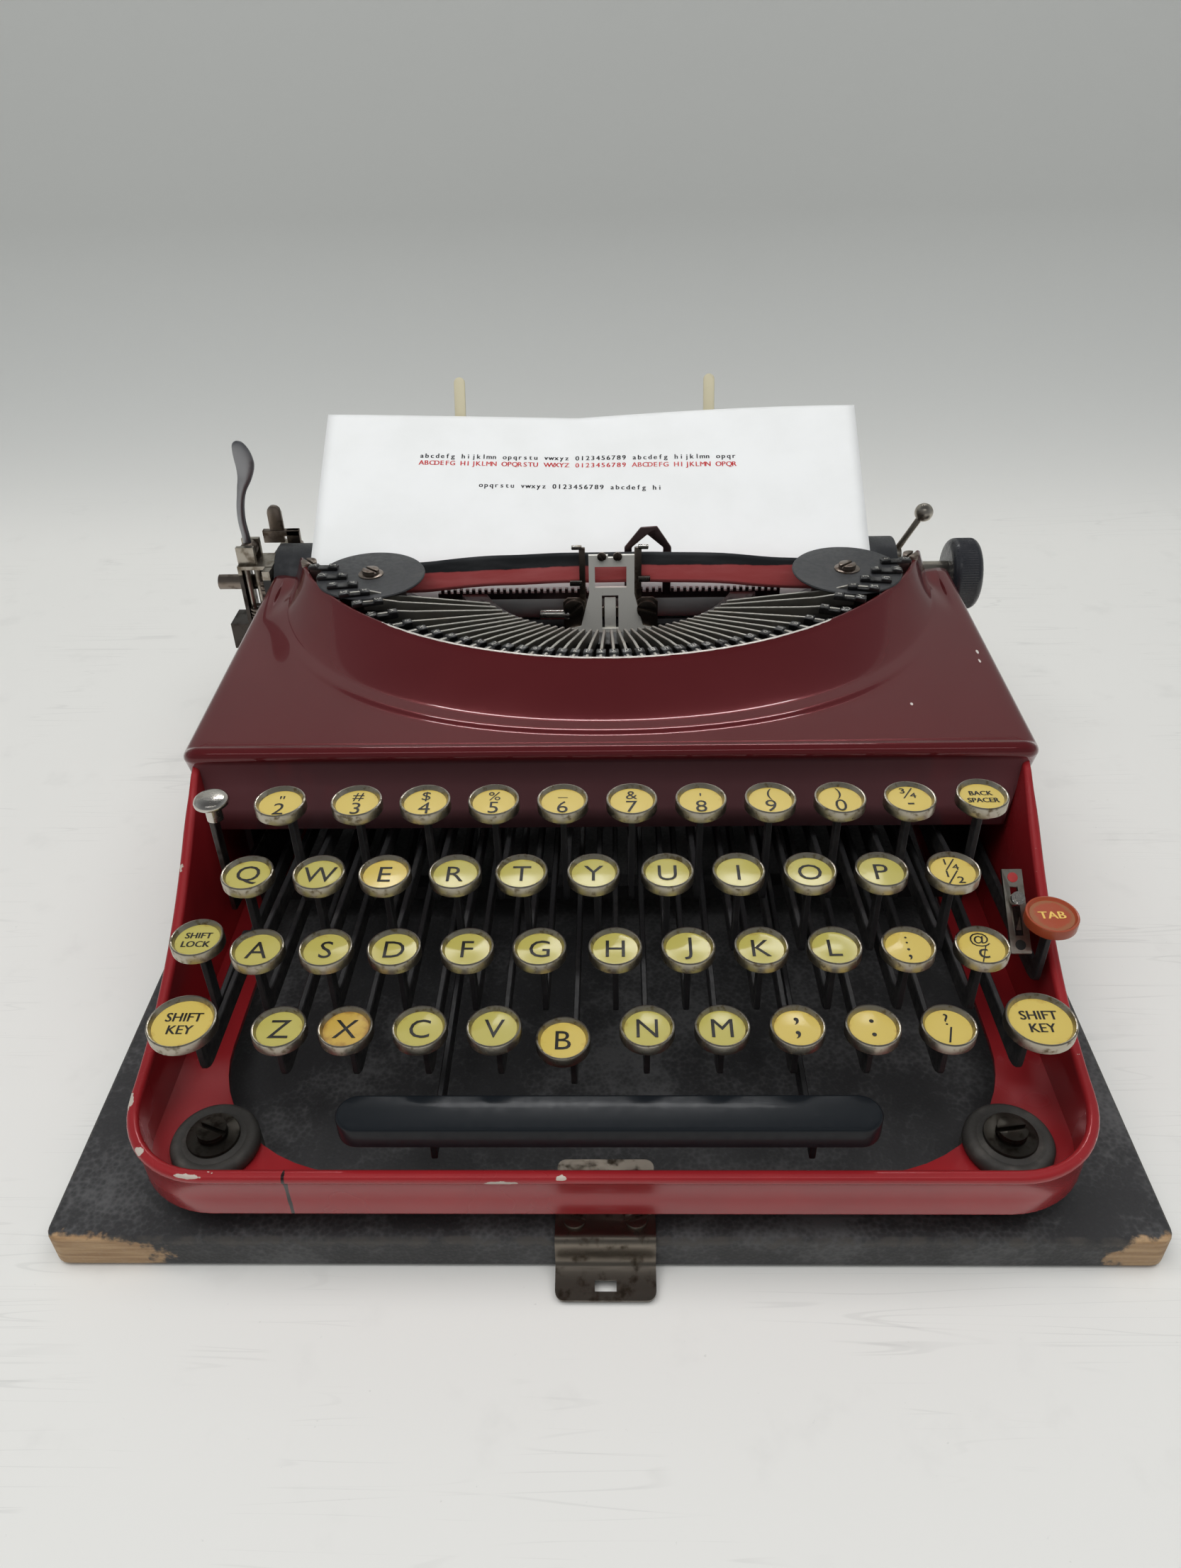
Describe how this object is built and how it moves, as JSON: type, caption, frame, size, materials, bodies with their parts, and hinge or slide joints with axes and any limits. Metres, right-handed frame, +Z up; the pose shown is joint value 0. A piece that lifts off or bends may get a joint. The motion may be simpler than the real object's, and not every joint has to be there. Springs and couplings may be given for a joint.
{
  "type": "portable typewriter",
  "caption": "Portable four-row typewriter in crimson and maroon enamel on a black case board, with working keys, carriage, platen, levers and a sheet of paper.",
  "frame": {"origin": "on the base board's underside, below the middle of the machine", "axes": "+X to the typist's right along the platen, +Y away from the typist, +Z up"},
  "size_m": [0.3036, 0.3248, 0.14],
  "materials": {
    "leatherette": "wood board covered with black pebbled leatherette, worn tan at the corners",
    "nickel": "nickel plate, slightly tarnished",
    "crimson_enamel": "glossy crimson enamel, chipped at the rim",
    "maroon_enamel": "glossy maroon enamel, worn bright at the lip",
    "black_rubber": "hardened black rubber",
    "black_steel": "black japanned steel",
    "key_steel": "nickel ring and cream glass on a black steel lever",
    "type_steel": "grey type bars with dark type heads",
    "black_gloss": "moulded blue-black hard rubber, glossy",
    "orange_gloss": "red-orange key top on a black lever",
    "ribbon_cloth": "inked cotton ribbon, black over red",
    "paper": "white paper"
  },
  "bodies": {
    "base": {"base_board": "leatherette", "latch_plate": "nickel", "main_frame": "crimson_enamel", "top_cover": "maroon_enamel", "rubber_feet": "black_rubber", "screws": "nickel", "inner_frame": "black_steel", "selector_plate": "nickel", "type_segment": "black_steel", "type_bars": "type_steel", "type_guide": "nickel", "ribbon": "ribbon_cloth"},
    "carriage_lift": {"carriage_bed": "black_steel"},
    "carriage": {"carriage_frame": "black_steel", "paper_table": "black_steel", "paper_sheet": "paper"},
    "platen_roll": {"platen": "black_rubber", "platen_shaft": "nickel", "platen_knob": "black_gloss"},
    "return_lever": {"return_lever": "nickel"},
    "line_lever": {"line_lever": "black_steel"},
    "release_lever": {"release_lever": "nickel"},
    "paper_fingers": {"paper_fingers": "nickel"},
    "left_spool": {"left_spool": "black_steel"},
    "right_spool": {"right_spool": "black_steel"},
    "ribbon_vibrator": {"ribbon_vibrator": "black_steel"},
    "selector_lever": {"selector_lever": "nickel"},
    "type_raiser": {"type_raiser": "nickel"},
    "shift": {"shift_keys": "key_steel"},
    "shift_lock": {"shift_lock": "key_steel"},
    "back_spacer": {"back_spacer": "key_steel"},
    "tab_key": {"tab_key": "orange_gloss"},
    "space_bar": {"space_bar": "black_gloss"},
    "figure_keys": {"figure_keys": "key_steel"},
    "key_z": {"key_z": "key_steel"},
    "key_x": {"key_x": "key_steel"},
    "key_c": {"key_c": "key_steel"},
    "key_v": {"key_v": "key_steel"},
    "key_b": {"key_b": "key_steel"},
    "key_n": {"key_n": "key_steel"},
    "key_m": {"key_m": "key_steel"},
    "key_a": {"key_a": "key_steel"},
    "key_s": {"key_s": "key_steel"},
    "key_d": {"key_d": "key_steel"},
    "key_f": {"key_f": "key_steel"},
    "key_g": {"key_g": "key_steel"},
    "key_h": {"key_h": "key_steel"},
    "key_j": {"key_j": "key_steel"},
    "key_k": {"key_k": "key_steel"},
    "key_l": {"key_l": "key_steel"},
    "key_q": {"key_q": "key_steel"},
    "key_w": {"key_w": "key_steel"},
    "key_e": {"key_e": "key_steel"},
    "key_r": {"key_r": "key_steel"},
    "key_t": {"key_t": "key_steel"},
    "key_y": {"key_y": "key_steel"},
    "key_u": {"key_u": "key_steel"},
    "key_i": {"key_i": "key_steel"},
    "key_o": {"key_o": "key_steel"},
    "key_p": {"key_p": "key_steel"}
  },
  "joints": [
    {"name": "carriage_slide", "type": "slide", "parent": "carriage_lift", "child": "carriage", "axis": [1, 0, 0], "range_m": [-0.098, 0.098]},
    {"name": "shift_press", "type": "hinge", "parent": "base", "child": "shift", "pos_m": [0, 0.07, 0.036], "axis": [1, 0, 0], "range_deg": [0, 3.6], "stiffness_Nm_per_rad": 1, "springref_deg": -6.88},
    {"name": "carriage_lift", "type": "slide", "parent": "base", "child": "carriage_lift", "axis": [0, 0, 1], "range_m": [0, 0.0051]},
    {"name": "platen_turn", "type": "hinge", "parent": "carriage", "child": "platen_roll", "pos_m": [0, 0.105, 0.078], "axis": [1, 0, 0], "continuous": true},
    {"name": "return_lever_pull", "type": "hinge", "parent": "carriage", "child": "return_lever", "pos_m": [-0.14285, 0.105, 0.0921], "axis": [0, 1, 0], "range_deg": [0, 28], "stiffness_Nm_per_rad": 0.1, "springref_deg": -11.46},
    {"name": "line_lever_set", "type": "hinge", "parent": "carriage", "child": "line_lever", "pos_m": [0, 0.1235, 0.084], "axis": [1, 0, 0], "range_deg": [-14, 14]},
    {"name": "release_lever_pull", "type": "hinge", "parent": "carriage", "child": "release_lever", "pos_m": [0, 0.1235, 0.078], "axis": [1, 0, 0], "range_deg": [0, 20]},
    {"name": "paper_fingers_fold", "type": "hinge", "parent": "carriage", "child": "paper_fingers", "pos_m": [0, 0.134, 0.064], "axis": [1, 0, 0], "range_deg": [-28, 0]},
    {"name": "left_spool_turn", "type": "hinge", "parent": "base", "child": "left_spool", "pos_m": [-0.0868, 0.067, 0.09], "axis": [0, 0, 1], "continuous": true},
    {"name": "right_spool_turn", "type": "hinge", "parent": "base", "child": "right_spool", "pos_m": [0.0868, 0.067, 0.09], "axis": [0, 0, 1], "continuous": true},
    {"name": "vibrator_lift", "type": "slide", "parent": "base", "child": "ribbon_vibrator", "axis": [0, 0, 1], "range_m": [0, 0.008], "stiffness_N_per_m": 20, "springref_m": -0.01},
    {"name": "selector_move", "type": "slide", "parent": "base", "child": "selector_lever", "axis": [0, 0.8141, 0.5807], "range_m": [-0.001, 0.003]},
    {"name": "raiser_press", "type": "hinge", "parent": "base", "child": "type_raiser", "pos_m": [-0.1115, -0.015, 0.048], "axis": [1, 0, 0], "range_deg": [0, 10]},
    {"name": "shift_lock_press", "type": "hinge", "parent": "shift", "child": "shift_lock", "pos_m": [-0.1089, -0.067, 0.042], "axis": [1, 0, 0], "range_deg": [0, 6], "stiffness_Nm_per_rad": 0.2, "springref_deg": -5.73},
    {"name": "back_spacer_press", "type": "hinge", "parent": "base", "child": "back_spacer", "pos_m": [0, 0.07, 0.036], "axis": [1, 0, 0], "range_deg": [0, 3.6], "stiffness_Nm_per_rad": 0.5, "springref_deg": -6.88},
    {"name": "tab_press", "type": "hinge", "parent": "base", "child": "tab_key", "pos_m": [0, 0.07, 0.036], "axis": [1, 0, 0], "range_deg": [0, 1.2], "stiffness_Nm_per_rad": 0.5, "springref_deg": -6.88},
    {"name": "space_press", "type": "hinge", "parent": "base", "child": "space_bar", "pos_m": [0, 0.07, 0.036], "axis": [1, 0, 0], "range_deg": [0, 2.4], "stiffness_Nm_per_rad": 2.5, "springref_deg": -6.88},
    {"name": "figure_keys_press", "type": "hinge", "parent": "base", "child": "figure_keys", "pos_m": [0, 0.07, 0.036], "axis": [1, 0, 0], "range_deg": [0, 3.6], "stiffness_Nm_per_rad": 8, "springref_deg": -6.88},
    {"name": "key_z_press", "type": "hinge", "parent": "base", "child": "key_z", "pos_m": [0, 0.07, 0.036], "axis": [1, 0, 0], "range_deg": [0, 3.6], "stiffness_Nm_per_rad": 0.5, "springref_deg": -6.88},
    {"name": "key_x_press", "type": "hinge", "parent": "base", "child": "key_x", "pos_m": [0, 0.07, 0.036], "axis": [1, 0, 0], "range_deg": [0, 3.6], "stiffness_Nm_per_rad": 0.5, "springref_deg": -6.88},
    {"name": "key_c_press", "type": "hinge", "parent": "base", "child": "key_c", "pos_m": [0, 0.07, 0.036], "axis": [1, 0, 0], "range_deg": [0, 3.6], "stiffness_Nm_per_rad": 0.5, "springref_deg": -6.88},
    {"name": "key_v_press", "type": "hinge", "parent": "base", "child": "key_v", "pos_m": [0, 0.07, 0.036], "axis": [1, 0, 0], "range_deg": [0, 3.6], "stiffness_Nm_per_rad": 0.5, "springref_deg": -6.88},
    {"name": "key_b_press", "type": "hinge", "parent": "base", "child": "key_b", "pos_m": [0, 0.07, 0.036], "axis": [1, 0, 0], "range_deg": [0, 2.4], "stiffness_Nm_per_rad": 0.5, "springref_deg": -6.88},
    {"name": "key_n_press", "type": "hinge", "parent": "base", "child": "key_n", "pos_m": [0, 0.07, 0.036], "axis": [1, 0, 0], "range_deg": [0, 3.6], "stiffness_Nm_per_rad": 0.5, "springref_deg": -6.88},
    {"name": "key_m_press", "type": "hinge", "parent": "base", "child": "key_m", "pos_m": [0, 0.07, 0.036], "axis": [1, 0, 0], "range_deg": [0, 3.6], "stiffness_Nm_per_rad": 0.5, "springref_deg": -6.88},
    {"name": "key_a_press", "type": "hinge", "parent": "base", "child": "key_a", "pos_m": [0, 0.07, 0.036], "axis": [1, 0, 0], "range_deg": [0, 3.6], "stiffness_Nm_per_rad": 0.5, "springref_deg": -6.88},
    {"name": "key_s_press", "type": "hinge", "parent": "base", "child": "key_s", "pos_m": [0, 0.07, 0.036], "axis": [1, 0, 0], "range_deg": [0, 3.6], "stiffness_Nm_per_rad": 0.5, "springref_deg": -6.88},
    {"name": "key_d_press", "type": "hinge", "parent": "base", "child": "key_d", "pos_m": [0, 0.07, 0.036], "axis": [1, 0, 0], "range_deg": [0, 3.6], "stiffness_Nm_per_rad": 0.5, "springref_deg": -6.88},
    {"name": "key_f_press", "type": "hinge", "parent": "base", "child": "key_f", "pos_m": [0, 0.07, 0.036], "axis": [1, 0, 0], "range_deg": [0, 3.6], "stiffness_Nm_per_rad": 0.5, "springref_deg": -6.88},
    {"name": "key_g_press", "type": "hinge", "parent": "base", "child": "key_g", "pos_m": [0, 0.07, 0.036], "axis": [1, 0, 0], "range_deg": [0, 3.6], "stiffness_Nm_per_rad": 0.5, "springref_deg": -6.88},
    {"name": "key_h_press", "type": "hinge", "parent": "base", "child": "key_h", "pos_m": [0, 0.07, 0.036], "axis": [1, 0, 0], "range_deg": [0, 3.6], "stiffness_Nm_per_rad": 0.5, "springref_deg": -6.88},
    {"name": "key_j_press", "type": "hinge", "parent": "base", "child": "key_j", "pos_m": [0, 0.07, 0.036], "axis": [1, 0, 0], "range_deg": [0, 3.6], "stiffness_Nm_per_rad": 0.5, "springref_deg": -6.88},
    {"name": "key_k_press", "type": "hinge", "parent": "base", "child": "key_k", "pos_m": [0, 0.07, 0.036], "axis": [1, 0, 0], "range_deg": [0, 3.6], "stiffness_Nm_per_rad": 0.5, "springref_deg": -6.88},
    {"name": "key_l_press", "type": "hinge", "parent": "base", "child": "key_l", "pos_m": [0, 0.07, 0.036], "axis": [1, 0, 0], "range_deg": [0, 3.6], "stiffness_Nm_per_rad": 0.5, "springref_deg": -6.88},
    {"name": "key_q_press", "type": "hinge", "parent": "base", "child": "key_q", "pos_m": [0, 0.07, 0.036], "axis": [1, 0, 0], "range_deg": [0, 3.6], "stiffness_Nm_per_rad": 0.5, "springref_deg": -6.88},
    {"name": "key_w_press", "type": "hinge", "parent": "base", "child": "key_w", "pos_m": [0, 0.07, 0.036], "axis": [1, 0, 0], "range_deg": [0, 3.6], "stiffness_Nm_per_rad": 0.5, "springref_deg": -6.88},
    {"name": "key_e_press", "type": "hinge", "parent": "base", "child": "key_e", "pos_m": [0, 0.07, 0.036], "axis": [1, 0, 0], "range_deg": [0, 3.6], "stiffness_Nm_per_rad": 0.5, "springref_deg": -6.88},
    {"name": "key_r_press", "type": "hinge", "parent": "base", "child": "key_r", "pos_m": [0, 0.07, 0.036], "axis": [1, 0, 0], "range_deg": [0, 3.6], "stiffness_Nm_per_rad": 0.5, "springref_deg": -6.88},
    {"name": "key_t_press", "type": "hinge", "parent": "base", "child": "key_t", "pos_m": [0, 0.07, 0.036], "axis": [1, 0, 0], "range_deg": [0, 3.6], "stiffness_Nm_per_rad": 0.5, "springref_deg": -6.88},
    {"name": "key_y_press", "type": "hinge", "parent": "base", "child": "key_y", "pos_m": [0, 0.07, 0.036], "axis": [1, 0, 0], "range_deg": [0, 3.6], "stiffness_Nm_per_rad": 0.5, "springref_deg": -6.88},
    {"name": "key_u_press", "type": "hinge", "parent": "base", "child": "key_u", "pos_m": [0, 0.07, 0.036], "axis": [1, 0, 0], "range_deg": [0, 3.6], "stiffness_Nm_per_rad": 0.5, "springref_deg": -6.88},
    {"name": "key_i_press", "type": "hinge", "parent": "base", "child": "key_i", "pos_m": [0, 0.07, 0.036], "axis": [1, 0, 0], "range_deg": [0, 3.6], "stiffness_Nm_per_rad": 0.5, "springref_deg": -6.88},
    {"name": "key_o_press", "type": "hinge", "parent": "base", "child": "key_o", "pos_m": [0, 0.07, 0.036], "axis": [1, 0, 0], "range_deg": [0, 3.6], "stiffness_Nm_per_rad": 0.5, "springref_deg": -6.88},
    {"name": "key_p_press", "type": "hinge", "parent": "base", "child": "key_p", "pos_m": [0, 0.07, 0.036], "axis": [1, 0, 0], "range_deg": [0, 3.6], "stiffness_Nm_per_rad": 0.5, "springref_deg": -6.88}
  ],
  "couplings": [
    {"joint": "carriage_lift", "follows": "shift_press", "m_per_rad": 0.0795},
    {"joint": "right_spool_turn", "follows": "left_spool_turn", "ratio": 1}
  ]
}
